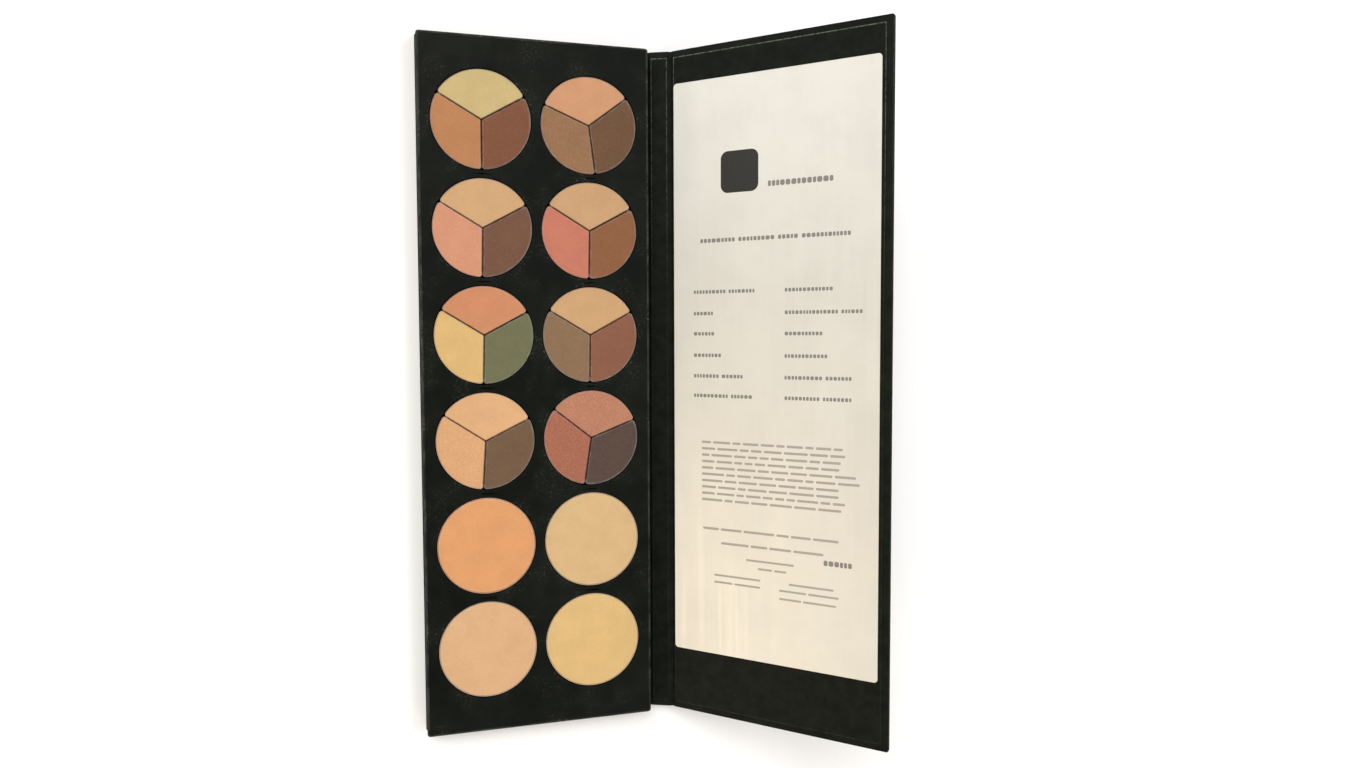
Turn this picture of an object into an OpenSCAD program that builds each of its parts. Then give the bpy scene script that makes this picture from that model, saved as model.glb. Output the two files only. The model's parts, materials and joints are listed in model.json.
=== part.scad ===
// Book-style powder palette, lying on its back cover with its front cover raised.
// Millimetres, +Z up. The origin is on the back cover's underside, below the middle
// of the grid of wells. +X runs from the tray towards the spine and the front cover,
// +Y along the long side, from well row 6 towards well row 1.

/* [Case] */
// Length of the case along its spine
case_l = 265.9; // [240:0.1:300]
// How far the case's middle is from the grid of wells, towards row 1
case_shift = -0.15; // [-2:0.05:2]
// Back cover, from its hinge line to its free edge
back_w = 89.8; // [89.6:0.1:94]
// Front cover, from its hinge line to its free edge
cover_w = 90.9; // [89:0.1:94]
// Thickness of the bare greyboard
board_t = 1.5; // [1:0.1:2]
// Thickness of the black covering paper
wrap_t = 0.25; // [0.15:0.05:0.4]
// Width of covering paper that is turned in over the boards' edges
turn_in = 14; // [8:1:20]
// Thickness of the paper lining on the inside
lining_t = 0.25; // [0.15:0.05:0.4]
// How far the lining stops short of the case's edges
lining_margin = 2.6; // [1.5:0.1:5]
// Bare joint on each side of a hinge line, where there is no board
joint_half = 1.5; // [1.4:0.1:2.5]

/* [Opening] */
// Angle of the spine above flat in this pose
spine_open = 24; // [5:0.5:60]
// Further angle of the front cover above the spine
cover_open = 21.2; // [5:0.1:60]

/* [Tray] */
// Tray width
tray_w = 87.8; // [86:0.2:88]
// Tray length
tray_l = 265.2; // [258:0.2:270]
// How far the tray's middle is from the grid of wells, along X and Y
tray_shift = [0.2, -0.4]; // [-1:0.1:1]
// Board that closes the wells from below
tray_floor_t = 2; // [1:0.25:2.5]
// Moulded frame that holds the wells
tray_frame_t = 4.75; // [4:0.25:6]
// Radius of the tray's four upright corners
tray_corner_r = 1.2; // [1:0.1:4]
// Radius rolled over the tray's top edges
tray_edge_r = 0.8; // [0.4:0.1:0.9]
// Space between the closed spine and the tray's side
spine_gap = 0.4; // [0.3:0.05:1]
// Space between the closed cover's label and the tray's face
cover_gap = 0.3; // [0.3:0.05:1]

/* [Wells and pans] */
// Distance between the two columns of wells
column_pitch = 40.8; // [39.5:0.1:42]
// Distance between rows of wells
row_pitch = 40.4; // [39.5:0.1:42]
// Well diameter
well_d = 37.7; // [37.4:0.1:38.4]
// Outer diameter of a round pan, and of three sector pans together
pan_d = 37; // [36:0.1:37.2]
// Height of a pan
pan_h = 3.85; // [3:0.05:4]
// Wall of a pan
pan_wall = 0.25; // [0.2:0.05:0.5]
// How far the powder lies below the pan's rim
powder_recess = 0.15; // [0.05:0.05:0.4]
// Gap between two sector pans of one well
sector_gap = 0.3; // [0.3:0.05:1.2]
// Outer corner radius of a sector pan
sector_corner_r = 1.1; // [1:0.1:3]
// Radius of a sector pan's inner tip
sector_tip_r = 0.8; // [0.5:0.05:1.5]
// Thickness of the glue dot under a pan
glue_t = 0.5; // [0.3:0.05:0.6]

/* [Label] */
// Label card width, across the cover
label_w = 85; // [60:0.5:86]
// Label card length, along the spine
label_l = 227.2; // [150:0.2:240]
// Label card thickness
label_t = 0.15; // [0.1:0.05:0.3]
// From the cover's hinge line to the label
label_x = 1.8; // [1.6:0.1:4]
// How far the label's middle is from the case's, towards row 1
label_shift = 6.1; // [-10:0.1:12]
// Label corner radius
label_corner_r = 1.4; // [1:0.1:5]

/* [Hidden] */
$fn = 96;
corner_steps = 6;
rim_steps = 28;
case_half = board_t / 2 + wrap_t;
lined_half = case_half + lining_t;
tray_z = case_half + lined_half;
face_z = tray_z + tray_floor_t + tray_frame_t;
hinge_x = tray_shift.x + tray_w / 2 + lined_half + spine_gap;
spine_w = face_z + cover_gap + label_t + lined_half - case_half;
pan_z = tray_z + tray_floor_t + glue_t;
powder_t = pan_h - pan_wall - powder_recess;

columns = ["a", "b"];
trio_rows = [1 : 4];
round_rows = [5 : 6];
sectors = ["top", "left", "right"];
// How far each trio sits turned in its well, counter-clockwise, by column and row
trio_turn = [[0, -1, -1.5, -3.5], [7.5, -1, -1, -8.5]];
// Powder colours by column and row: three for a trio, one for a round pan
trio_colours = [
    [["#d5bd84", "#c4875c", "#86573f"], ["#d5aa7c", "#e09c7e", "#7a5644"],
     ["#d9936a", "#e2bc7b", "#727254"], ["#e5b382", "#e2ac80", "#785d46"]],
    [["#dba078", "#9b7455", "#745740"], ["#d1a678", "#d47e66", "#966342"],
     ["#d7aa79", "#907255", "#935f49"], ["#c28a70", "#b4745c", "#5d4b44"]]];
round_colours = [["#e6a46e", "#e4b688"], ["#e0bc88", "#e6c182"]];

NODES = concat(
    ["back_board", "spine_board", "cover_board", "back_wrap", "spine_wrap", "cover_wrap"],
    ["back_joint_wrap", "cover_joint_wrap", "back_joint_lining", "cover_joint_lining"],
    ["back_lining", "spine_lining", "cover_lining", "label_card"],
    ["tray_adhesive", "tray_floor", "tray_frame", "pan_glue_dots"],
    [for (c = columns, r = trio_rows) str("trio_pans_", c, r)],
    [for (c = columns, r = round_rows) str("round_pan_", c, r)],
    [for (c = columns, r = trio_rows, s = sectors) str("powder_", c, r, "_", s)],
    [for (c = columns, r = round_rows) str("powder_", c, r)]);
node = "all";

function shown(name) = node == "all" || node == name;

// ---------- places ----------

module at_hinge() {
    translate([hinge_x, case_shift, case_half]) children();
}

module at_back() {
    at_hinge() mirror([1, 0, 0]) children();
}

module at_spine() {
    at_hinge() rotate([0, -spine_open, 0]) children();
}

module at_cover() {
    at_spine() translate([spine_w, 0, 0]) rotate([0, -cover_open, 0]) children();
}

function well_x(column) = (column - 0.5) * column_pitch;
function well_y(row) = (3.5 - row) * row_pitch;

module at_tray(z) {
    translate([tray_shift.x, tray_shift.y, z]) children();
}

module at_well(column, row) {
    translate([well_x(column), well_y(row), 0]) children();
}

module at_sector(column, row, index) {
    at_well(column, row) rotate([0, 0, trio_turn[column][row - 1] + 120 * index]) children();
}

// ---------- case: greyboard, covering paper, lining ----------

// A slab in a cover's own plane: x from its hinge line, y centred, z from the board's middle
module slab(x0, x1, length, z0, z1) {
    translate([x0, -length / 2, z0]) cube([x1 - x0, length, z1 - z0]);
}

// Board of a cover of the given width, with or without paper over its far edge
module board(width, far_edge) {
    slab(joint_half, width - far_edge * wrap_t, case_l - 2 * wrap_t, -board_t / 2, board_t / 2);
}

// Covering paper: outside face, edges and turn-ins round the board
module wrap(width, far_edge) {
    window_x = far_edge == 1 ? width - turn_in : width + 1;
    difference() {
        slab(joint_half, width, case_l, -case_half, case_half);
        board(width + 1 - far_edge, far_edge);
        slab(joint_half - 1, window_x, case_l - 2 * turn_in, 0, case_half + 1);
    }
}

// Lining: fills the window that the turn-ins leave, and laps over them
module lining(x_window, x_edge) {
    slab(joint_half, x_window, case_l - 2 * turn_in, board_t / 2, case_half);
    slab(joint_half, x_edge, case_l - 2 * lining_margin, case_half, lined_half);
}

// Mitred strip across a hinge, between offsets low and high from the hinge line's plane
module joint_strip(fold, length, low, high) {
    far = [cos(fold), sin(fold)] * joint_half;
    side = [-sin(fold), cos(fold)];
    mitre = [-tan(fold / 2), 1];
    rotate([90, 0, 0]) linear_extrude(length, center = true)
        polygon([[-joint_half, low], low * mitre, far + low * side,
                 far + high * side, high * mitre, [-joint_half, high]]);
}

module back_board() {
    color("#8f8a80") at_back() board(back_w, 1);
}

module spine_board() {
    color("#8f8a80") at_spine() board(spine_w - joint_half, 0);
}

module cover_board() {
    color("#8f8a80") at_cover() board(cover_w, 1);
}

module back_wrap() {
    color("#20231f") at_back() wrap(back_w, 1);
}

module spine_wrap() {
    color("#20231f") at_spine() wrap(spine_w - joint_half, 0);
}

module cover_wrap() {
    color("#20231f") at_cover() wrap(cover_w, 1);
}

module back_joint_wrap() {
    color("#1b1d1a") at_hinge()
        joint_strip(spine_open, case_l, -case_half, -board_t / 2);
}

module cover_joint_wrap() {
    color("#1b1d1a") at_spine() translate([spine_w, 0, 0])
        joint_strip(cover_open, case_l, -case_half, -board_t / 2);
}

module back_joint_lining() {
    color("#282b27") at_hinge()
        joint_strip(spine_open, case_l - 2 * lining_margin, case_half, lined_half);
}

module cover_joint_lining() {
    color("#282b27") at_spine() translate([spine_w, 0, 0])
        joint_strip(cover_open, case_l - 2 * lining_margin, case_half, lined_half);
}

// The lining runs a little way under the tray, so that the tray holds its edge down
module back_lining() {
    color("#282b27") at_back() lining(turn_in, turn_in);
}

module spine_lining() {
    color("#282b27") at_spine() lining(spine_w - joint_half, spine_w - joint_half);
}

module cover_lining() {
    color("#282b27") at_cover() lining(cover_w - turn_in, cover_w - lining_margin);
}

module label_card() {
    color("#e8e2d2") at_cover()
        translate([label_x + label_w / 2, label_shift, lined_half])
            linear_extrude(label_t) rounded_rectangle(label_w, label_l, label_corner_r);
}

// ---------- tray ----------

module rounded_rectangle(width, length, radius) {
    square([width - 2 * radius, length], center = true);
    square([width, length - 2 * radius], center = true);
    for (sx = [-1, 1], sy = [-1, 1])
        translate([sx * (width / 2 - radius), sy * (length / 2 - radius)]) circle(radius);
}

// Glue sheet under the tray, beside the lining's edge, and down into the window
module tray_adhesive() {
    color("#cfc9ba") at_back() {
        slab(turn_in, back_w - turn_in, case_l - 2 * turn_in, board_t / 2, case_half);
        slab(turn_in, hinge_x - tray_shift.x + tray_w / 2 - 1, tray_l - 2, case_half, lined_half);
    }
}

module tray_floor() {
    color("#3a3733") at_tray(tray_z)
        linear_extrude(tray_floor_t) rounded_rectangle(tray_w, tray_l, tray_corner_r);
}

// The frame's outline at a height in its rolled edge, drawn in by the edge's own curve
module rolled_slice(turn) {
    inset = tray_edge_r * (1 - cos(turn));
    translate([0, 0, tray_frame_t - tray_edge_r * (1 - sin(turn)) - 0.01])
        linear_extrude(0.01)
            rounded_rectangle(tray_w - 2 * inset, tray_l - 2 * inset, tray_corner_r - inset, $fn = 32);
}

module tray_frame() {
    base = tray_z + tray_floor_t;
    color("#20231f") difference() {
        at_tray(base) hull() {
            linear_extrude(0.01) rounded_rectangle(tray_w, tray_l, tray_corner_r, $fn = 32);
            for (turn = [0 : 22.5 : 90]) rolled_slice(turn);
        }
        for (c = [0, 1], r = [1 : 6])
            at_well(c, r) translate([0, 0, base - 1]) cylinder(h = tray_frame_t + 2, d = well_d);
    }
}

module pan_glue_dots() {
    color("#cfc9ba") translate([0, 0, tray_z + tray_floor_t]) for (c = [0, 1]) {
        for (r = trio_rows, i = [0 : 2])
            at_sector(c, r, i) translate([0, pan_d * 0.29, 0]) cylinder(h = glue_t, d = 9);
        for (r = round_rows) at_well(c, r) cylinder(h = glue_t, d = 20);
    }
}

// ---------- pans and powders ----------

function arc(centre, radius, from, to, steps) = [
    for (i = [0 : steps]) let (a = from + (to - from) * i / steps)
        centre + radius * [cos(a), sin(a)]];

// Outline of a third of a disc that points along +Y, with round corners, drawn in by inset
function sector_outline(inset) =
    let (radius = pan_d / 2 - inset,
         side = sector_gap / 2 + inset,
         corner_r = sector_corner_r - inset,
         tip_r = sector_tip_r - inset,
         tip = [0, (side + tip_r) / sin(60)],
         along = sqrt(pow(radius - corner_r, 2) - pow(side + corner_r, 2)),
         corner = along * [cos(30), sin(30)] + (side + corner_r) * [-sin(30), cos(30)],
         swing = atan2(corner.y, corner.x))
    concat(arc(tip, tip_r, -120, -60, corner_steps),
           arc(corner, corner_r, -60, swing, corner_steps),
           arc([0, 0], radius, swing, 180 - swing, rim_steps),
           arc([-corner.x, corner.y], corner_r, 180 - swing, 240, corner_steps));

module sector_pan() {
    difference() {
        linear_extrude(pan_h) polygon(sector_outline(0));
        translate([0, 0, pan_wall]) linear_extrude(pan_h) polygon(sector_outline(pan_wall));
    }
}

module trio_pans(column, row) {
    color("#c9c6bf") for (i = [0 : 2])
        at_sector(column, row, i) translate([0, 0, pan_z]) sector_pan();
}

module round_pan(column, row) {
    color("#c9c6bf") at_well(column, row) translate([0, 0, pan_z]) difference() {
        cylinder(h = pan_h, d = pan_d);
        translate([0, 0, pan_wall]) cylinder(h = pan_h, d = pan_d - 2 * pan_wall);
    }
}

module sector_powder(column, row, index) {
    color(trio_colours[column][row - 1][index])
        at_sector(column, row, index) translate([0, 0, pan_z + pan_wall])
            linear_extrude(powder_t) polygon(sector_outline(pan_wall));
}

module round_powder(column, row) {
    color(round_colours[column][row - 5])
        at_well(column, row) translate([0, 0, pan_z + pan_wall])
            cylinder(h = powder_t, d = pan_d - 2 * pan_wall);
}

if (shown("back_board")) back_board();
if (shown("spine_board")) spine_board();
if (shown("cover_board")) cover_board();
if (shown("back_wrap")) back_wrap();
if (shown("spine_wrap")) spine_wrap();
if (shown("cover_wrap")) cover_wrap();
if (shown("back_joint_wrap")) back_joint_wrap();
if (shown("cover_joint_wrap")) cover_joint_wrap();
if (shown("back_joint_lining")) back_joint_lining();
if (shown("cover_joint_lining")) cover_joint_lining();
if (shown("back_lining")) back_lining();
if (shown("spine_lining")) spine_lining();
if (shown("cover_lining")) cover_lining();
if (shown("label_card")) label_card();
if (shown("tray_adhesive")) tray_adhesive();
if (shown("tray_floor")) tray_floor();
if (shown("tray_frame")) tray_frame();
if (shown("pan_glue_dots")) pan_glue_dots();
for (c = [0, 1], r = trio_rows) if (shown(str("trio_pans_", columns[c], r))) trio_pans(c, r);
for (c = [0, 1], r = round_rows) if (shown(str("round_pan_", columns[c], r))) round_pan(c, r);
for (c = [0, 1], r = trio_rows, i = [0 : 2])
    if (shown(str("powder_", columns[c], r, "_", sectors[i]))) sector_powder(c, r, i);
for (c = [0, 1], r = round_rows) if (shown(str("powder_", columns[c], r))) round_powder(c, r);
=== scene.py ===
"""Looks of a book-style powder palette: wrapped case, moulded tray, metal pans, pressed powders and an
inside card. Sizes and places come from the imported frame; lengths named here are in millimetres."""
import json
import math
import random

import bmesh
import bpy
import numpy as np
from mathutils import Matrix, Vector, geometry, noise


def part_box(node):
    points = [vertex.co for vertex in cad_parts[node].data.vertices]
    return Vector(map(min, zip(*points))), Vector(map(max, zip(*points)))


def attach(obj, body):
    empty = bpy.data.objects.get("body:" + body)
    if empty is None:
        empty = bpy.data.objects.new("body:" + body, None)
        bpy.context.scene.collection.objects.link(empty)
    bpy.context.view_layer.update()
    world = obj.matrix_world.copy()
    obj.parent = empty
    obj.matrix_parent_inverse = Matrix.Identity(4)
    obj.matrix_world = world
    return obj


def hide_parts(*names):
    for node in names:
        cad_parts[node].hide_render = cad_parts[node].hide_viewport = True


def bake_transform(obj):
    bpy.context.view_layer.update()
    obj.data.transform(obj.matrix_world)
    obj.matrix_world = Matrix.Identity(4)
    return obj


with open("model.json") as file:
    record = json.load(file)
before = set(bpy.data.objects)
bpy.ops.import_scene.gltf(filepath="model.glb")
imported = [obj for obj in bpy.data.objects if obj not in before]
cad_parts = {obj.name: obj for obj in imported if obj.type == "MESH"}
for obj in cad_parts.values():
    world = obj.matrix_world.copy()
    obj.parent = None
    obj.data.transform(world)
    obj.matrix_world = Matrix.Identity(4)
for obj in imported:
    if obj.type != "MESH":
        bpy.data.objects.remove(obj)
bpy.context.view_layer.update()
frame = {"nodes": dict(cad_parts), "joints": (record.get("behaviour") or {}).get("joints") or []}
MM = 0.001
JOINTS = {joint["name"]: joint for joint in frame["joints"]}
UNTURNED = Matrix.Identity(4)

# ---------------------------------------------------------------- camera

CAMERA_PLACE = Vector((-46.8, 20.3, 370.5)) * MM
CAMERA_RIGHT = Vector((0.96044, -0.00302, 0.27848))
CAMERA_UP = Vector((0.0177, 0.99858, -0.05023))
CAMERA_LENS, SENSOR_WIDTH = 24.62, 36  # in mm, as Blender's cameras count them


def link(made):
    bpy.context.scene.collection.objects.link(made)
    return made


def make_camera():
    data = bpy.data.cameras.new("camera")
    data.lens = CAMERA_LENS
    data.sensor_width = SENSOR_WIDTH
    data.clip_start = 0.01
    camera = link(bpy.data.objects.new("camera", data))
    back = CAMERA_RIGHT.cross(CAMERA_UP).normalized()
    up = back.cross(CAMERA_RIGHT).normalized()
    turn = Matrix((CAMERA_RIGHT.normalized(), up, back)).transposed()
    camera.matrix_world = Matrix.Translation(CAMERA_PLACE) @ turn.to_4x4()
    bpy.context.scene.camera = camera


make_camera()

# ---------------------------------------------------------------- places, from the frame

SPINE_OPEN = math.radians(-JOINTS["spine_fold"]["range_deg"][0])
COVER_OPEN = math.radians(-JOINTS["cover_fold"]["range_deg"][0])
SPINE_HINGE = Vector(JOINTS["spine_fold"]["pos_m"])
COVER_HINGE = Vector(JOINTS["cover_fold"]["pos_m"])
BACK, SPINE, COVER = "back_and_tray", "spine", "front_cover"


def panel_at(hinge, angle):
    """A panel's own plane, from the middle of its hinge line: x points away from the tray, z inwards."""
    low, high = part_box("back_wrap")
    middle = Vector((hinge.x, (low.y + high.y) / 2, hinge.z))
    return Matrix.Translation(middle) @ Matrix.Rotation(-angle, 4, "Y")


AT_BACK = panel_at(SPINE_HINGE, 0)
AT_SPINE = panel_at(SPINE_HINGE, SPINE_OPEN)
AT_SPINE_END = panel_at(COVER_HINGE, SPINE_OPEN)
AT_COVER = panel_at(COVER_HINGE, SPINE_OPEN + COVER_OPEN)


def extent(node, place):
    """Lowest and highest corner of a CAD node in a panel's own plane."""
    inverse = place.inverted()
    points = np.array([inverse @ v.co for v in frame["nodes"][node].data.vertices])
    return Vector(points.min(0)), Vector(points.max(0))


# ---------------------------------------------------------------- mesh helpers

SHARP_ANGLE = math.radians(35)  # faces that meet at more than this keep a crisp edge
SMALLEST_ROUND = 0.02 * MM


def smooth(piece):
    for polygon in piece.data.polygons:
        polygon.use_smooth = True
    piece.data.set_sharp_from_angle(angle=SHARP_ANGLE)


def link_mesh(name, mesh, place):
    shape = bmesh.new()
    shape.from_mesh(mesh)
    bmesh.ops.transform(shape, matrix=place, verts=shape.verts)
    bmesh.ops.recalc_face_normals(shape, faces=shape.faces)
    shape.to_mesh(mesh)
    shape.free()
    made = link(bpy.data.objects.new(name, mesh))
    smooth(made)
    return made


class Loft:
    """Collects rings of points, the faces between them, and one weight at each point for its material."""

    def __init__(self):
        self.vertices = []
        self.faces = []
        self.weights = []

    def ring(self, points, weight=0.0):
        """Adds a ring; its weight is one number, or a list with a number for each point."""
        start = len(self.vertices)
        self.vertices.extend(points)
        self.weights.extend(weight if isinstance(weight, list) else [weight] * len(points))
        return list(range(start, start + len(points)))

    def outline(self, flat, z, weight=0.0):
        return self.ring([(x, y, z) for x, y in flat], weight)

    def between(self, *rows):
        for low, high in zip(rows, rows[1:]):
            for i in range(len(low)):
                j = (i + 1) % len(low)
                self.faces.append((low[i], low[j], high[j], high[i]))

    def cap(self, row):
        self.faces.append(tuple(row))

    def fan(self, row, point):
        centre = self.ring([point])[0]
        for i, vertex in enumerate(row):
            self.faces.append((vertex, row[(i + 1) % len(row)], centre))

    def flat_fill(self, outer, holes):
        """Triangles in the plane between an outer ring and the rings of its holes."""
        order = [i for ring in (outer, *holes) for i in ring]
        loops = [[Vector(self.vertices[i]) for i in ring] for ring in (outer, *holes)]
        for triangle in geometry.tessellate_polygon(loops):
            self.faces.append(tuple(order[i] for i in triangle))

    def build(self, name, place=UNTURNED, weight=None):
        """Makes the mesh object; weight is the name under which a material finds the points' weights."""
        mesh = bpy.data.meshes.new(name)
        mesh.from_pydata(self.vertices, [], self.faces)
        if weight:
            attribute = mesh.attributes.new(weight, "FLOAT", "POINT")
            attribute.data.foreach_set("value", self.weights)
        return link_mesh(name, mesh, place)


def rounding(radius, steps):
    """(inset, drop) pairs of a quarter round, from the flat top to the upright side."""
    turns = [math.pi / 2 * i / steps for i in range(steps + 1)]
    return [(radius * (1 - math.sin(t)), radius * (1 - math.cos(t))) for t in turns]


def arc(centre, radius, start, stop, steps):
    turns = [math.radians(start + (stop - start) * i / steps) for i in range(steps + 1)]
    return [(centre[0] + radius * math.cos(t), centre[1] + radius * math.sin(t)) for t in turns]


def rounded_rectangle(low, high, radius, steps, inset=0.0):
    x0, y0, x1, y1 = low[0] + inset, low[1] + inset, high[0] - inset, high[1] - inset
    r = max(radius - inset, SMALLEST_ROUND)
    corners = [(x1 - r, y1 - r, 0), (x0 + r, y1 - r, 90), (x0 + r, y0 + r, 180), (x1 - r, y0 + r, 270)]
    points = []
    for x, y, start in corners:
        points += arc((x, y), r, start, start + 90, steps)
    return points


def circle(centre, radius, count=96):
    return arc(centre, radius, 0, 360 * (count - 1) / count, count - 1)


def finish_piece(piece, material, body, node):
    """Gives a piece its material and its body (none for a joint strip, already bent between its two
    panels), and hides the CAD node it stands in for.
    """
    piece.data.materials.append(material)
    if body:
        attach(piece, body)
    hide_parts(node)


# ---------------------------------------------------------------- materials


def linear(colour):
    """A web colour such as d5bd84 as linear red, green and blue."""
    channels = [int(colour[i : i + 2], 16) / 255 for i in (0, 2, 4)]
    return [c / 12.92 if c <= 0.04045 else ((c + 0.055) / 1.055) ** 2.4 for c in channels]


class Shader:
    """A material with a principled shader, and short calls for the nodes in front of it."""

    def __init__(self, name):
        self.material = bpy.data.materials.new(name)
        self.material.use_nodes = True
        self.tree = self.material.node_tree
        self.main = self.tree.nodes["Principled BSDF"]
        self.place = self.tree.nodes.new("ShaderNodeTexCoord").outputs["Object"]

    def set(self, **values):
        for name, value in values.items():
            self.main.inputs[name.replace("_", " ")].default_value = value

    def plug(self, value, socket):
        if isinstance(value, bpy.types.NodeSocket):
            self.tree.links.new(value, socket)
        elif hasattr(value, "__len__") and len(value) == 3 and socket.type == "RGBA":
            socket.default_value = (*value, 1)
        else:
            socket.default_value = value

    def link(self, output, name):
        self.tree.links.new(output, self.main.inputs[name])

    def node(self, kind, **inputs):
        made = self.tree.nodes.new(kind)
        for name, value in inputs.items():
            self.plug(value, made.inputs[name.replace("_", " ")])
        return made

    def stretched(self, scale):
        return self.node("ShaderNodeMapping", Vector=self.place, Scale=scale).outputs["Vector"]

    def noise(self, size, detail=3.0, roughness=0.5, where=None):
        made = self.node("ShaderNodeTexNoise", Vector=where or self.place, Scale=1 / (size * MM),
                         Detail=detail, Roughness=roughness)
        return made.outputs["Fac"]

    def cells(self, size, output="Distance"):
        made = self.node("ShaderNodeTexVoronoi", Vector=self.place, Scale=1 / (size * MM))
        return made.outputs[output]

    def steps(self, value, low, high, to_low=0.0, to_high=1.0):
        made = self.node("ShaderNodeMapRange", Value=value, From_Min=low, From_Max=high,
                         To_Min=to_low, To_Max=to_high)
        made.interpolation_type = "SMOOTHSTEP"
        return made.outputs["Result"]

    def maths(self, operation, a, b):
        made = self.tree.nodes.new("ShaderNodeMath")
        made.operation = operation
        self.plug(a, made.inputs[0])
        self.plug(b, made.inputs[1])
        return made.outputs["Value"]

    def mix(self, amount, first, second):
        made = self.tree.nodes.new("ShaderNodeMix")
        made.data_type = "RGBA"
        for index, value in ((0, amount), (6, first), (7, second)):
            self.plug(value, made.inputs[index])
        return made.outputs[2]

    def bump(self, height, depth, strength=1.0, below=None):
        made = self.node("ShaderNodeBump", Height=height, Distance=depth * MM, Strength=strength)
        if below is not None:
            self.tree.links.new(below, made.inputs["Normal"])
        return made.outputs["Normal"]

    def attribute(self, name):
        made = self.tree.nodes.new("ShaderNodeAttribute")
        made.attribute_name = name
        return made.outputs["Fac"]


HANDLED_FROM, HANDLED_TO = 30 * MM, 125 * MM  # wear on the edges grows between these places along y


def black_paper(name, dark, light, edge, roughness):
    """Black coated paper: fine leather grain, faint clouding, and worn edges, paler towards row 1."""
    s = Shader(name)
    cloud = s.noise(5, 5.0, 0.65)
    body = s.mix(s.steps(cloud, 0.3, 0.7), linear(dark), linear(light))
    chips = s.steps(s.noise(1.3, 5.0, 0.65), 0.36, 0.6, 0.15, 1.0)
    along = s.node("ShaderNodeSeparateXYZ", Vector=s.place).outputs["Y"]
    handled = s.steps(along, HANDLED_FROM, HANDLED_TO, 0.1, 0.8)
    worn = s.maths("MULTIPLY", s.attribute("wear"), s.maths("MULTIPLY", chips, handled))
    s.link(s.mix(worn, body, linear(edge)), "Base Color")
    s.link(s.steps(s.noise(3, 4.0), 0.3, 0.7, roughness - 0.03, roughness + 0.04), "Roughness")
    s.link(s.bump(s.noise(0.22, 2.0), 0.02, 0.5, s.bump(s.cells(0.55), 0.05, 0.5)), "Normal")
    s.set(Specular_IOR_Level=0.035)
    return s.material


def tray_plastic():
    """Black moulded plastic with handling marks: dust round the wells, where the weight "dust" is up to 1,
    and on the rounded outer edge, where it rises to 2, a pale line that is rub and painted highlight."""
    s = Shader("tray_plastic")
    body = s.mix(s.steps(s.noise(22, 4.0, 0.6), 0.35, 0.7), linear("0b0e0a"), linear("131611"))
    edges = s.steps(s.attribute("dust"), 1.0, 2.0)
    # pale grey along the rounded outer edge: a painted highlight, broken up like rubbing
    rub_and_painted_highlight = s.maths("MULTIPLY", edges, s.steps(s.noise(5, 5.0), 0.32, 0.75, 0.06, 0.34))
    body = s.mix(rub_and_painted_highlight, body, linear("5e5f59"))
    specks = s.steps(s.noise(0.9, 4.0, 0.7), 0.52, 0.68)
    patches = s.steps(s.noise(11, 2.0, 0.5), 0.45, 0.7)
    dust = s.maths("MULTIPLY", s.attribute("dust"), s.maths("MULTIPLY", specks, patches))
    s.link(s.mix(s.maths("MULTIPLY", dust, 0.35), body, linear("77736a")), "Base Color")
    s.link(s.steps(s.noise(5, 4.0), 0.3, 0.7, 0.4, 0.56), "Roughness")
    scratches = s.noise(1.0, 3.0, 0.6, s.stretched((1.0, 0.12, 1.0)))
    s.link(s.bump(s.cells(0.4), 0.03, 0.35, s.bump(scratches, 0.02, 0.3)), "Normal")
    s.set(Specular_IOR_Level=0.08)
    return s.material


POWDER_TONE = 0.775  # share of a powder's named colour that its pigment has under these lights


def pressed_powder(name, colour, shimmer):
    """Pressed powder: mottled pigment, fine grain, faint press lines, a pale edge by the weight "edge" that
    is rub and painted highlight, and mica flecks if it shimmers."""
    s = Shader(name)
    base = [c * POWDER_TONE for c in linear(colour)]
    deep = [c * 0.965 for c in base]
    pale = [c * 1.035 for c in base]
    mottle = s.steps(s.noise(7, 3.0, 0.55), 0.3, 0.7)
    grain = s.noise(0.16, 2.0, 0.7)
    lines = s.noise(1.1, 2.0, 0.5, s.stretched((1.0, 0.06, 1.0)))
    toned = s.mix(mottle, deep, pale)
    speckled = s.mix(s.steps(grain, 0.36, 0.52, 0.3, 0.0), toned, [c * 0.72 for c in base])
    flecks = s.node("ShaderNodeSeparateColor", Color=s.cells(0.28, "Color")).outputs["Red"]
    spark = s.steps(flecks, 0.82 - 0.24 * shimmer, 0.97 - 0.1 * shimmer)
    # paler rounded edge: a painted highlight, patchy like rubbed powder
    rub_and_painted_highlight = s.maths("MULTIPLY", s.attribute("edge"), s.steps(s.noise(2.5, 3.0), 0.35, 0.65, 0.12, 0.5))
    speckled = s.mix(rub_and_painted_highlight, speckled, [0.65 * c + 0.2 for c in base])
    glow = [min(1.0, c * 1.35 + 0.12) for c in base]
    s.link(s.mix(s.maths("MULTIPLY", spark, 0.1 + 0.6 * shimmer), speckled, glow), "Base Color")
    s.link(s.steps(spark, 0.0, 1.0, 0.92 - 0.25 * shimmer, 0.7 - 0.35 * shimmer), "Roughness")
    soft = s.bump(lines, 0.05, 0.25 + 0.3 * shimmer, s.bump(mottle, 0.12, 0.3))
    s.link(s.bump(grain, 0.05, 0.6, soft), "Normal")
    if shimmer:
        s.link(s.maths("MULTIPLY", spark, 0.75 * shimmer), "Metallic")
    s.set(Specular_IOR_Level=0.25, Sheen_Weight=0.08, Sheen_Roughness=0.6)
    return s.material


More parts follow.
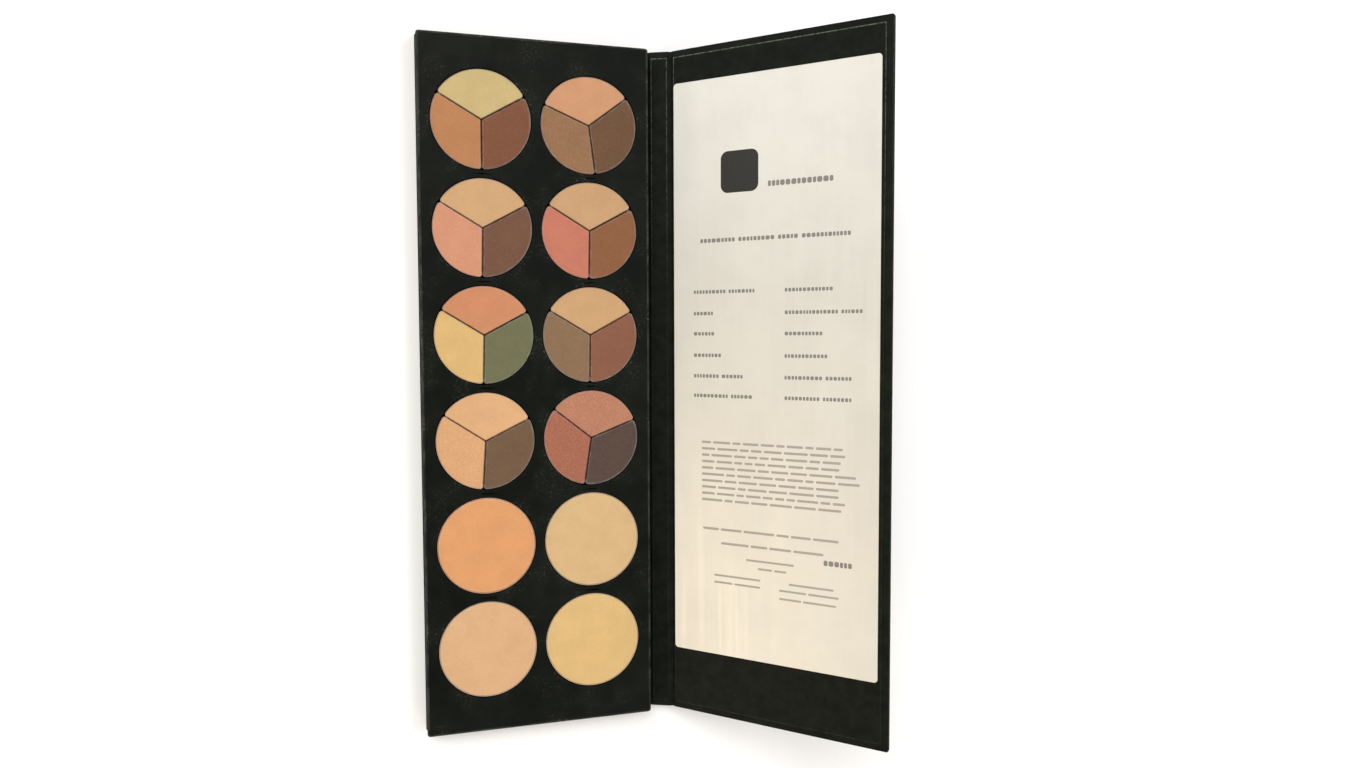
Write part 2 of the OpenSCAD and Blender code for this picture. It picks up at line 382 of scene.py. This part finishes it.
def pan_metal(name, colour):
    """Thin tinplate dusted with the powder it holds: a pale rim on the outside that is painted highlight,
    and painted shade, dark, in the narrow gaps.
    """
    s = Shader(name)
    powder = [c * POWDER_TONE for c in linear(colour)]
    brushed = s.noise(0.7, 3.0, 0.6, s.stretched((1.0, 0.15, 1.0)))
    dust = s.steps(s.noise(2.2, 4.0, 0.6), 0.3, 0.48, 0.7, 1.0)
    bare = s.mix(s.steps(brushed, 0.3, 0.7), (0.36, 0.33, 0.29), (0.55, 0.51, 0.45))
    # powder dust, paler on the rim along the well as painted highlight, darker on rims in the gaps as
    # painted shade
    dust_with_painted_highlight_and_shade = s.mix(s.attribute("outer"), [c * 0.6 for c in powder], [0.7 * c + 0.15 for c in powder])
    s.link(s.mix(dust, bare, dust_with_painted_highlight_and_shade), "Base Color")
    s.link(s.steps(dust, 0.0, 1.0, 0.9, 0.0), "Metallic")
    s.link(s.steps(dust, 0.0, 1.0, 0.35, 0.85), "Roughness")
    s.link(s.bump(s.noise(0.2, 3.0), 0.04, 0.4, s.bump(brushed, 0.02, 0.3)), "Normal")
    s.set(Specular_IOR_Level=0.25)
    return s.material


def label_paper():
    """Satin pearl card with faint upright brushing and slow unevenness."""
    s = Shader("label_card")
    streaks = s.noise(1.6, 3.0, 0.6, s.stretched((1.0, 0.02, 1.0)))
    cloud = s.noise(24, 5.0, 0.6)
    base = s.mix(s.steps(cloud, 0.3, 0.7), (0.615, 0.6, 0.55), (0.66, 0.645, 0.59))
    s.link(s.mix(s.steps(streaks, 0.3, 0.7, 0.0, 0.3), base, (0.68, 0.665, 0.61)), "Base Color")
    s.link(s.steps(streaks, 0.3, 0.7, 0.42, 0.5), "Roughness")
    s.link(s.bump(streaks, 0.01, 0.08, s.bump(cloud, 0.4, 0.15)), "Normal")
    s.set(Metallic=0.35)
    return s.material


def print_ink(name, dark, light):
    s = Shader(name)
    s.link(s.mix(s.noise(0.5, 3.0), dark, light), "Base Color")
    s.link(s.steps(s.noise(1.2), 0.3, 0.7, 0.5, 0.65), "Roughness")
    s.set(Specular_IOR_Level=0.15)
    return s.material


def fibrous(name, dark, light, fleck, size, roughness, specular=0.3):
    """Recycled board or dried glue: streaky pulp with small flecks."""
    s = Shader(name)
    fibres = s.noise(size, 5.0, 0.7, s.stretched((0.4, 1.0, 1.0)))
    flecks = s.steps(s.noise(size * 1.3, 2.0), 0.6, 0.72)
    s.link(s.mix(flecks, s.mix(s.steps(fibres, 0.3, 0.7), dark, light), fleck), "Base Color")
    s.link(s.steps(fibres, 0.3, 0.7, roughness - 0.05, roughness + 0.05), "Roughness")
    s.link(s.bump(fibres, 0.08, 0.5), "Normal")
    s.set(Specular_IOR_Level=specular)
    return s.material


def floor_paper():
    s = Shader("floor")
    s.link(s.mix(s.noise(200, 2.0), (0.95, 0.95, 0.95), (0.97, 0.97, 0.97)), "Base Color")
    s.set(Roughness=0.9, Specular_IOR_Level=0.1)
    return s.material


COVERING = black_paper("covering_paper", "121511", "1a1d18", "4c4d48", 0.46)
LINING = black_paper("lining_paper", "121511", "1a1d18", "74756f", 0.42)
TRAY = tray_plastic()
LABEL = label_paper()
INK = print_ink("label_ink", (0.17, 0.16, 0.145), (0.26, 0.245, 0.22))
FINE_INK = print_ink("fine_ink", (0.3, 0.275, 0.235), (0.42, 0.385, 0.33))
MARK_INK = print_ink("mark_ink", (0.022, 0.022, 0.02), (0.04, 0.039, 0.036))
BOARD = fibrous("greyboard", (0.2, 0.185, 0.165), (0.34, 0.32, 0.29), (0.5, 0.47, 0.42), 0.6, 0.9)
TRAY_BOARD = fibrous("tray_board", (0.004, 0.0042, 0.004), (0.009, 0.009, 0.008), (0.02, 0.019, 0.018),
                     0.6, 0.85, 0.08)
GLUE = fibrous("adhesive", (0.5, 0.47, 0.38), (0.68, 0.65, 0.55), (0.75, 0.72, 0.62), 1.6, 0.45)

# ---------------------------------------------------------------- case: covering paper

PAPER = 0.25 * MM
TURN_IN = 14 * MM
EDGE_ROUND = 0.35 * MM
CORNER_ROUND, INNER_CORNER_ROUND = 0.8 * MM, 0.05 * MM


def channel(half_length, z0, z1):
    """Section of the covering paper along y and z: outer face, upright ends, and turned-in lips above."""
    turns = rounding(EDGE_ROUND, 3)
    outer = [(half_length - inset, z1 - drop) for inset, drop in turns]
    outer += [(half_length - inset, z0 + drop) for inset, drop in reversed(turns)]
    inner = [(half_length - PAPER, z0 + PAPER), (half_length - PAPER, z1 - PAPER)]
    lip = half_length - TURN_IN
    right = [(lip, z1)] + outer
    left = [(-y, z) for y, z in reversed(right)]
    under = [(-lip, z1 - PAPER)] + [(-y, z) for y, z in reversed(inner)]
    return right + left + under + inner + [(lip, z1 - PAPER)]


def cover_wrap(name, node, place, body, sign):
    """Covering paper of a cover, from its joint to its free edge, in rows of outlines with rounded edges.
    The outlines open at the joint: the skin runs over the outside, the far edge and ends, and the lips.
    The sign is that of x on the cover, seen from its hinge."""
    low, high = extent(node, place)
    if sign < 0:
        low.x, high.x = -high.x, -low.x
    joint, far, half = low.x, high.x, high.y
    z0, z1 = low.z, high.z

    def track(inset):
        """Half outline: from the joint along one end, round the far edge, back along the other end."""
        x, y, r = far - inset, half - inset, max(CORNER_ROUND - inset, INNER_CORNER_ROUND)
        turned = arc((x - r, -y + r), r, 270, 360, 5) + arc((x - r, y - r), r, 0, 90, 5)
        return [(joint, -y)] + turned + [(joint, y)]

    turns = rounding(EDGE_ROUND, 3)
    loops = [(TURN_IN, z1 - PAPER), (TURN_IN, z1)]
    loops += [(inset, z1 - drop) for inset, drop in turns]
    loops += [(inset, z0 + drop) for inset, drop in reversed(turns)]
    shape = Loft()
    outer = []
    for inset, z in loops:
        worn = 0.6 if 0 < inset < EDGE_ROUND else 0.0
        outer.append(shape.ring([(sign * x, y, z) for x, y in track(inset)], worn))
    inner = [shape.ring([(sign * x, y, z) for x, y in track(PAPER)]) for z in (z0 + PAPER, z1 - PAPER)]
    rows = outer + inner
    for a, b in [*zip(outer, outer[1:]), (inner[0], inner[1]), (inner[1], outer[0])]:
        for i in range(len(a) - 1):
            shape.faces.append((a[i], a[i + 1], b[i + 1], b[i]))
    shape.cap(outer[-1])
    shape.cap(inner[0])
    first, last = [row[0] for row in rows], [row[-1] for row in rows]
    shape.faces.append(tuple([*first, *reversed(last)]))
    finish_piece(shape.build(name, place, "wear"), COVERING, body, node)


def spine_wrap():
    low, high = extent("spine_wrap", AT_SPINE)
    shape = Loft()
    section = channel(high.y, low.z, high.z)
    rows = [shape.ring([(x, y, z) for y, z in section]) for x in (low.x, high.x)]
    shape.between(*rows)
    for row in rows:
        shape.cap(row)
    piece = shape.build("spine_covering", AT_SPINE, "wear")
    finish_piece(piece, COVERING, SPINE, "spine_wrap")


JOINT_STATIONS = 12
GROOVE_IN, GROOVE_OUT = 0.35 * MM, 0.2 * MM
# Each fold: its name, the bodies before and after it, their panels' planes at its hinge, and its angle
FOLDS = [("back", BACK, SPINE, AT_BACK, AT_SPINE, SPINE_OPEN),
         ("cover", SPINE, COVER, AT_SPINE_END, AT_COVER, COVER_OPEN)]


def joint_strip(name, node, section, material, fold):
    """Strip of paper across a joint, bent between its two panels and pressed into a shallow groove."""
    _, before, after, at_a, at_b, angle = fold
    half = -extent(node, at_a)[0].x
    shape = Loft()
    rows = []
    for step in range(JOINT_STATIONS + 1):
        x = half * (2 * step / JOINT_STATIONS - 1)
        t = (x + half) / (2 * half)
        weight = t * t * (3 - 2 * t)
        dip = (1 - (x / half) ** 2) ** 2
        points = []
        for y, z in section:
            flat = Vector((x, y, z - (GROOVE_IN if z > 0 else -GROOVE_OUT) * dip))
            points.append((at_a @ flat).lerp(at_b @ flat, weight))
        rows.append(shape.ring(points))
    shape.between(*rows)
    shape.cap(rows[0])
    shape.cap(rows[-1])
    piece = shape.build(name, UNTURNED, "wear")
    finish_piece(piece, material, None, node)
    chord = Vector((math.cos(angle / 2), 0, math.sin(angle / 2)))
    chord = (at_a.to_3x3() @ chord).normalized()
    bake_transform(piece)


def joints():
    low, high = extent("spine_wrap", AT_SPINE)
    covering = channel(high.y, low.z, high.z)
    _, half, top = extent("spine_lining", AT_SPINE)[1]
    lining = [(half, top), (-half, top), (-half, high.z), (half, high.z)]
    for fold in FOLDS:
        joint = f"{fold[0]}_joint"
        joint_strip(f"{joint}_covering", f"{joint}_wrap", covering, COVERING, fold)
        joint_strip(f"{joint}_liner", f"{joint}_lining", lining, LINING, fold)


# ---------------------------------------------------------------- case: lining and card

LINING_MARGIN = 2.6 * MM  # how far a lining stops short of the case's edges
LAP = TURN_IN - LINING_MARGIN  # how far it laps over a turned-in edge
LINING_CORNER, LINING_BEVEL, LINING_PLAY = 0.15 * MM, 0.04 * MM, 0.05 * MM
WEAR_WIDTH, LONG_EDGE_WEAR = 0.5 * MM, 0.08


def lining_sheet(name, node, place, body, far_lap=LINING_PLAY):
    """Lining of a panel: a plug that fills the window between the turn-ins, and a lap over them.
    Its head and foot edges are the worn ones, the long edges hardly."""
    low, high = extent(node, place)
    lap_z = high.z - PAPER
    window_low = Vector((low.x + LINING_PLAY, low.y + LAP))
    window_high = Vector((high.x - far_lap, high.y - LAP))
    shape = Loft()

    def lap(inset, z, worn):
        flat = rounded_rectangle(low, high, LINING_CORNER, 3, inset)
        foot, head = low.y + inset + SMALLEST_ROUND, high.y - inset - SMALLEST_ROUND
        shares = [LONG_EDGE_WEAR if foot < y < head else 1.0 for _, y in flat]
        return shape.outline(flat, z, [worn * share for share in shares])

    window = rounded_rectangle(window_low, window_high, LINING_CORNER, 3)
    rows = [shape.outline(window, z) for z in (low.z, lap_z)]
    rows += [lap(0, lap_z, 0.3), lap(0, high.z - LINING_BEVEL, 1.0), lap(LINING_BEVEL, high.z, 1.0),
             lap(WEAR_WIDTH / 2, high.z, 0.8), lap(WEAR_WIDTH, high.z, 0.0)]
    shape.between(*rows)
    shape.cap(rows[0])
    shape.cap(rows[-1])
    finish_piece(shape.build(name, place, "wear"), LINING, body, node)


CARD_CORNER, CARD_BEVEL, CARD_MARGIN = 1.4 * MM, 0.03 * MM, 0.3 * MM


def inside_card():
    low, high = extent("label_card", AT_COVER)
    shape = Loft()
    rows = [shape.outline(rounded_rectangle(low, high, CARD_CORNER, 8, inset), z)
            for inset, z in [(CARD_BEVEL, low.z), (0.0, low.z + CARD_BEVEL), (0.0, high.z - CARD_BEVEL),
                             (CARD_BEVEL, high.z), (CARD_MARGIN, high.z)]]
    shape.between(*rows)
    shape.cap(rows[0])
    shape.cap(rows[-1])
    finish_piece(shape.build("inside_card", AT_COVER), LABEL, COVER, "label_card")
    return low, high


# Rows of print on the card, in millimetres from its spine-side edge and from its middle line:
# left end, height of the row's middle, thickness, then the lengths of its blocks of print
HEADINGS = [
    (12, 51, 1.6, [15, 15, 8, 19]),
    (9, 31, 1.4, [14, 11]), (9, 22.5, 1.4, [8.5]), (9, 14.5, 1.4, [9]), (9, 6, 1.4, [12]),
    (9, -2.2, 1.4, [11, 9]), (9, -10, 1.4, [15, 9]),
    (48, 31, 1.4, [19]), (48, 22.5, 1.4, [21, 8]), (48, 14.5, 1.4, [15]), (48, 6, 1.4, [17]),
    (48, -2.2, 1.4, [15, 10]), (48, -10, 1.4, [14, 11]), (64, -71.5, 2.0, [11]), (41, 71.3, 2.1, [26]),
]
SMALL_ROWS = [
    (13, -63, 0.95, [7, 9, 13, 5, 8, 10]), (21, -68.5, 0.95, [12, 7, 9, 12]),
    (32, -74, 0.8, [20]), (37, -77, 0.8, [6, 5]), (18, -81.5, 0.8, [20]), (18, -84.3, 0.8, [8, 11]),
    (50, -81.5, 0.8, [18]), (46, -84.3, 0.8, [11, 12]), (46, -87.5, 0.8, [9, 13]),
]
FINE_PRINT, WIDE_PRINT = 1.0, 4.0  # rows thinner or thicker than this aren't split into small blocks
PARAGRAPH_LEFT, PARAGRAPH_TOP, PARAGRAPH_STEP, PARAGRAPH_LINES = 12.5, -28.5, 2.55, 10
PARAGRAPH_WIDTH, PARAGRAPH_RAG, PARAGRAPH_THICK = 60, 9, 0.95
SMALLEST_GAP, BLOCK_GAP = 0.9, 0.4
MARK = [(21, 77, 16, [16])]  # a plain square, as one more row
INK_THICK, INK_BEVEL = 0.012 * MM, 0.03 * MM


def paragraph(rng):
    """Rows of bars of uneven length, with a ragged right edge."""
    rows = []
    for line in range(PARAGRAPH_LINES):
        bars, used = [], 0.0
        room = PARAGRAPH_WIDTH - rng.uniform(0, PARAGRAPH_RAG)
        while used < room:
            bars.append(rng.uniform(3, 10))
            used += bars[-1] + SMALLEST_GAP
        rows.append((PARAGRAPH_LEFT, PARAGRAPH_TOP - PARAGRAPH_STEP * line, PARAGRAPH_THICK, bars))
    return rows


def split_bar(length, height, rng):
    """Small blocks along a bar, as (offset, width); fine print and the mark stay whole."""
    if not FINE_PRINT <= height <= WIDE_PRINT:
        return [(0, length)]
    count = round(length / (0.85 * height + 0.25))
    widths = [rng.uniform(0.6, 1.1) for _ in range(count)]
    scale = (length - BLOCK_GAP * (count - 1)) / sum(widths)
    return [(sum(widths[:i]) * scale + BLOCK_GAP * i, w * scale) for i, w in enumerate(widths)]


def print_block(shape, corner, width, height, z):
    """One raised block of ink, from its lower left corner, on the card's face at z."""
    far = corner + Vector((width * MM, height * MM))
    radius = min(0.3 * min(width, height), 3) * MM
    steps = 8 if height > WIDE_PRINT else 2
    outlines = [rounded_rectangle(corner, far, radius, steps, inset) for inset in (0, 0, INK_BEVEL)]
    heights = (z - INK_THICK, z + INK_THICK * 0.6, z + INK_THICK)
    loops = [shape.outline(flat, level) for flat, level in zip(outlines, heights)]
    shape.between(*loops)
    shape.cap(loops[0])
    shape.cap(loops[-1])


def card_print(low, high):
    """Stand-in print: rows of plain blocks where text would be, and a plain square in place of a mark."""
    rng = random.Random(7)
    fine_rows = SMALL_ROWS + paragraph(rng)
    middle = (low.y + high.y) / 2
    prints = [("card_print", HEADINGS, INK), ("card_small_print", fine_rows, FINE_INK),
              ("card_mark", MARK, MARK_INK)]
    for name, rows, ink in prints:
        shape = Loft()
        for left, y, height, bars in rows:
            for bar in bars:
                for offset, width in split_bar(bar, height, rng):
                    corner = Vector((low.x + (left + offset) * MM, middle + (y - height / 2) * MM))
                    print_block(shape, corner, width, height, high.z)
                left += bar + max(SMALLEST_GAP, height)
        piece = shape.build(name, AT_COVER)
        piece.data.materials.append(ink)
        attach(piece, COVER)


# ---------------------------------------------------------------- tray

WELL_D = 37.7 * MM
LIP_ROUND = 0.35 * MM
TRAY_CORNER, TRAY_EDGE, TRAY_MARGIN = 1.2 * MM, 0.8 * MM, 0.4 * MM
DUSTY_NEAR, DUSTY_FAR = 0.25 * MM, 1.2 * MM  # dust fades between these distances from a well's lip


def well_places():
    """Middle of each well, from two round pans: a5 gives column a and row 5, b6 the pitch and column b."""
    low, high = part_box("round_pan_a5")
    in_a5 = (low + high) / 2
    low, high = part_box("round_pan_b6")
    in_b6 = (low + high) / 2
    pitch = in_a5.y - in_b6.y
    return {f"{column}{row}": Vector((x, in_a5.y + (5 - row) * pitch, 0))
            for column, x in (("a", in_a5.x), ("b", in_b6.x)) for row in range(1, 7)}


WELLS = well_places()


def tray():
    """Moulded tray with rounded edges and well lips; its weight is the dust on it, and on the outer edge
    the rub and painted highlight.
    """
    low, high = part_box("tray_frame")
    shape = Loft()
    top = high.z

    def edge(inset, z, weight):
        return shape.outline(rounded_rectangle(low, high, TRAY_CORNER, 8, inset), z, weight)

    def ring(middle, radius, z, weight):
        return shape.outline(circle(middle, radius), z, weight)

    support = edge(TRAY_EDGE + TRAY_MARGIN, top, 0.3)
    # weight 2 on the rounded outer edge calls for the painted highlight, with rub
    sides = [edge(inset, top - drop, 2.0 if inset > 0 else 0.5) for inset, drop in rounding(TRAY_EDGE, 6)]
    foot = edge(0, low.z, 0.0)
    shape.between(support, *sides, foot)
    holes_top, holes_low = [], []
    r = WELL_D / 2
    for middle in WELLS.values():
        outer = ring(middle, r + LIP_ROUND + DUSTY_FAR, top, 0.45)
        inner = ring(middle, r + LIP_ROUND + DUSTY_NEAR, top, 0.9)
        lips = [ring(middle, r + inset, top - drop, 1.0) for inset, drop in rounding(LIP_ROUND, 4)]
        bottom = ring(middle, r, low.z, 0.2)
        shape.between(outer, inner, *lips, bottom)
        holes_top.append(outer)
        holes_low.append(bottom)
    shape.flat_fill(support, holes_top)
    shape.flat_fill(foot, holes_low)
    finish_piece(shape.build("tray_moulding", UNTURNED, "dust"), TRAY, BACK, "tray_frame")


# ---------------------------------------------------------------- pans and powders

PAN_WALL, PAN_FOOT = 0.25 * MM, 0.2 * MM
CAKE_GROWTH = 0.08 * MM  # how far a cake's side is past its CAD outline, so that it seats in its pan
OUTER_RIM = 17 * MM  # a pan's rim further than this from its well's middle is on the outside
SEAT_SHIFT, SEAT_TURN, SEAT_TILT = 0.03 * MM, math.radians(0.2), math.radians(0.1)
# A cake's crown in the middle, the round on its edge, and how far it stands over its CAD node
SECTOR_CAKE = 0.1 * MM, 0.22 * MM, 0.05 * MM
ROUND_CAKE = 0.25 * MM, 0.45 * MM, 0.1 * MM
CAKE_RINGS = (0.97, 0.93, 0.86, 0.74, 0.58, 0.4, 0.2)  # shares of the way out from a cake's middle
CAKE_WAVES, WAVE_SIZE = 0.035 * MM, 3.5  # height and size (mm) of the unevenness on a cake's top
EDGE_CRUMBLE, CRUMBLE_SIZE = 0.008, 1.1  # share by which a cake's edge wanders, and its size (mm)
NOISE_SLICE = 13 * MM  # height at which the unevenness is cut from solid noise
RIM_STEPS = 6

# Colours of the powders in each well: top, left and right of a trio, or the one of a round pan
COLOURS = {
    "a1": ("cfb880", "be8458", "815239"), "a2": ("d5aa7c", "d99979", "78533f"),
    "a3": ("d49067", "e2bc7b", "727252"), "a4": ("e5b382", "e0aa78", "755a42"),
    "b1": ("d39c74", "98704f", "705138"), "b2": ("cea478", "cb7c65", "915f3e"),
    "b3": ("d2a778", "8e7053", "8d5c45"), "b4": ("bd8062", "ab684f", "59463d"),
    "a5": ("e6a46e",), "a6": ("e4b688",), "b5": ("e0bc88",), "b6": ("e6c182",),
}
SHIMMER = {"a4_left": 0.5, "b4_top": 0.45, "b4_left": 0.5, "b1_left": 0.2, "a2_left": 0.1}


def top_outline(node):
    """Outline of a powder's top face, in order round its middle, with no gap over a millimetre."""
    points = [v.co for v in frame["nodes"][node].data.vertices]
    top = max(p.z for p in points)
    level = [p for p in points if top - p.z < 0.01 * MM]
    flat = {(round(p.x, 6), round(p.y, 6)) for p in level}
    centre = np.mean(sorted(flat), axis=0)
    ordered = sorted(flat, key=lambda p: math.atan2(p[1] - centre[1], p[0] - centre[0]))
    filled = []
    for (x0, y0), (x1, y1) in zip(ordered, ordered[1:] + ordered[:1]):
        count = max(1, math.ceil(math.hypot(x1 - x0, y1 - y0) / MM))
        filled += [(x0 + (x1 - x0) * i / count, y0 + (y1 - y0) * i / count) for i in range(count)]
    return filled


def drawn_in(outline, inset):
    """The outline moved inwards, point by point, along its own normals."""
    points = np.array(outline)
    along = np.roll(points, -1, 0) - np.roll(points, 1, 0)
    along /= np.linalg.norm(along, axis=1)[:, None]
    normals = np.stack([along[:, 1], -along[:, 0]], 1)
    return [tuple(p) for p in points - normals * inset]


def uneven(x, y, size):
    return noise.noise(Vector((x, y, NOISE_SLICE)) / (size * MM))


def powder_cake(name, node, outline, form, place, material):
    """Pressed cake: upright side, soft and slightly crumbled edge, and a crowned, uneven top."""
    low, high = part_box(node)
    crown, edge, proud = form
    centre = np.mean(np.array(outline), axis=0)
    top = high.z + proud
    shape = Loft()

    def shrunk(point, share):
        return tuple(centre + (point - centre) * share)

    def crumbled(inset):
        return [shrunk(point, 1 - EDGE_CRUMBLE * abs(uneven(*point, CRUMBLE_SIZE)))
                for point in drawn_in(outline, inset)]

    # weight 1 on the side and rounded edge: where the pale rub and painted highlight go
    rows = [shape.outline(drawn_in(outline, -CAKE_GROWTH), low.z, 1.0)]
    for inset, drop in reversed(rounding(edge, 4)):
        rows.append(shape.outline(crumbled(inset - CAKE_GROWTH), top - drop, 1.0))
    last = drawn_in(outline, edge - CAKE_GROWTH)
    for share in CAKE_RINGS:
        ring = []
        for point in last:
            x, y = shrunk(point, share)
            lift = crown * (1 - share**2) + CAKE_WAVES * uneven(x, y, WAVE_SIZE) * (1 - share**8)
            ring.append((x, y, top + lift))
        rows.append(shape.ring(ring))
    shape.between(*rows)
    shape.cap(rows[0])
    shape.fan(rows[-1], (*centre, top + crown))
    finish_piece(shape.build(name, place, "edge"), material, BACK, node)


def pan(name, node, powder, outline, place, colour, well):
    """Thin metal pan round a powder, with a rounded rim; its weight marks the rim along the well."""
    low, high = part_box(node)
    inner_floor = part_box(powder)[0].z
    half = (PAN_WALL - CAKE_GROWTH) / 2
    # weight 1 on the rim along the well takes the painted highlight, 0 in the gaps the painted shade
    outer = [1.0 if math.dist(point, well) > OUTER_RIM else 0.0 for point in outline]
    shape = Loft()
    rows = [shape.outline(drawn_in(outline, PAN_FOOT - PAN_WALL), low.z, outer),
            shape.outline(drawn_in(outline, -PAN_WALL), low.z + PAN_FOOT, outer)]
    for step in range(RIM_STEPS + 1):
        turn = math.pi * step / RIM_STEPS
        inset = -PAN_WALL + half * (1 - math.cos(turn))
        rows.append(shape.outline(drawn_in(outline, inset), high.z - half * (1 - math.sin(turn)), outer))
    rows.append(shape.outline(drawn_in(outline, -CAKE_GROWTH), inner_floor, outer))
    shape.between(*rows)
    shape.cap(rows[0])
    shape.cap(rows[-1])
    finish_piece(shape.build(name, place, "outer"), pan_metal(name, colour), BACK, node)


def seated(outline, z, rng):
    """A pan's own small shift, turn and tilt, as it was set by hand."""
    centre = Vector((*np.mean(np.array(outline), axis=0), z))
    shift = [rng.uniform(-SEAT_SHIFT, SEAT_SHIFT) for _ in range(2)]
    spin = Matrix.Rotation(rng.uniform(-SEAT_TURN, SEAT_TURN), 4, "Z")
    lean = Matrix.Rotation(rng.uniform(-SEAT_TILT, SEAT_TILT), 4, rng.choice("XY"))
    there = Matrix.Translation(centre + Vector((*shift, 0)))
    return there @ spin @ lean @ Matrix.Translation(-centre)


def round_outline(node):
    low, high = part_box(node)
    return circle((low + high) / 2, (high.x - low.x) / 2, 120)


def filled_pan(well, tag, pan_node, outline, form, colour, rng):
    """One pan with its cake of powder, seated together."""
    node = f"powder_{tag}"
    place = seated(outline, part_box(pan_node)[0].z, rng)
    material = pressed_powder(node, colour, SHIMMER.get(tag, 0.0))
    pan(f"pan_{tag}", pan_node, node, outline, place, colour, WELLS[well].xy)
    powder_cake(f"cake_{tag}", node, outline, form, place, material)


def fill_wells():
    rng = random.Random(11)
    for well, colours in COLOURS.items():
        if len(colours) == 1:
            outline = round_outline(f"powder_{well}")
            filled_pan(well, well, f"round_pan_{well}", outline, ROUND_CAKE, colours[0], rng)
        else:
            for colour, sector in zip(colours, ("top", "left", "right")):
                tag = f"{well}_{sector}"
                outline = top_outline(f"powder_{tag}")
                filled_pan(well, tag, f"trio_pans_{well}", outline, SECTOR_CAKE, colour, rng)


# ---------------------------------------------------------------- everything


def dress_kept_nodes():
    """CAD nodes that stay as they are get their own materials."""
    kept = {"back_board": BOARD, "spine_board": BOARD, "cover_board": BOARD, "tray_floor": TRAY_BOARD,
            "tray_adhesive": GLUE, "pan_glue_dots": GLUE}
    for node, material in kept.items():
        mesh = frame["nodes"][node].data
        mesh.materials.clear()
        mesh.materials.append(material)


FLOOR_HALF, FLOOR_DROP = 2500 * MM, 0.2 * MM
WORLD_STRENGTH = 0.22


def floor():
    shape = Loft()
    corners = [(FLOOR_HALF * x, FLOOR_HALF * y) for x, y in ((1, 1), (-1, 1), (-1, -1), (1, -1))]
    shape.cap(shape.outline(corners, -FLOOR_DROP))
    piece = shape.build("floor")
    for polygon in piece.data.polygons:
        if polygon.normal.z < 0:
            piece.data.flip_normals()
    piece.data.materials.append(floor_paper())


def area_light(name, place, target, size, power, colour):
    data = bpy.data.lights.new(name, "AREA")
    data.shape = "RECTANGLE"
    data.size, data.size_y = size
    data.energy = power
    data.color = colour
    light = link(bpy.data.objects.new(name, data))
    light.location = place
    aim = Vector(target) - Vector(place)
    light.rotation_euler = aim.to_track_quat("-Z", "Y").to_euler()


def studio():
    world = bpy.data.worlds.new("studio")
    bpy.context.scene.world = world
    world.use_nodes = True
    background = world.node_tree.nodes["Background"]
    background.inputs["Color"].default_value = (1, 1, 1, 1)
    background.inputs["Strength"].default_value = WORLD_STRENGTH
    bpy.context.scene.view_settings.view_transform = "Standard"
    area_light("key", (-0.45, 0.85, 1.2), (0, 0, 0), (1.1, 1.1), 18, (1.0, 0.98, 0.95))
    area_light("front", (0.2, -1.5, 0.95), (0, 0, 0), (1.2, 0.9), 13.5, (1.0, 0.95, 0.88))
    area_light("right", (1.0, 0.25, 1.1), (0, 0, 0), (1.0, 1.0), 9, (0.98, 0.98, 1.0))
    area_light("card_top", (-1.35, 0.6, 0.42), (0.09, 0.05, 0.04), (0.7, 0.5), 3.7, (0.9, 0.96, 1.0))
    area_light("card_low", (-1.35, -0.6, 0.4), (0.09, -0.08, 0.04), (0.7, 0.5), 6.2, (1.0, 0.8, 0.53))


cover_wrap("back_covering", "back_wrap", AT_BACK, BACK, -1)
cover_wrap("front_covering", "cover_wrap", AT_COVER, COVER, 1)
spine_wrap()
joints()
lining_sheet("back_liner", "back_lining", AT_BACK, BACK)
lining_sheet("spine_liner", "spine_lining", AT_SPINE, SPINE)
lining_sheet("cover_liner", "cover_lining", AT_COVER, COVER, LAP)
card_print(*inside_card())
tray()
fill_wells()
dress_kept_nodes()
floor()
studio()
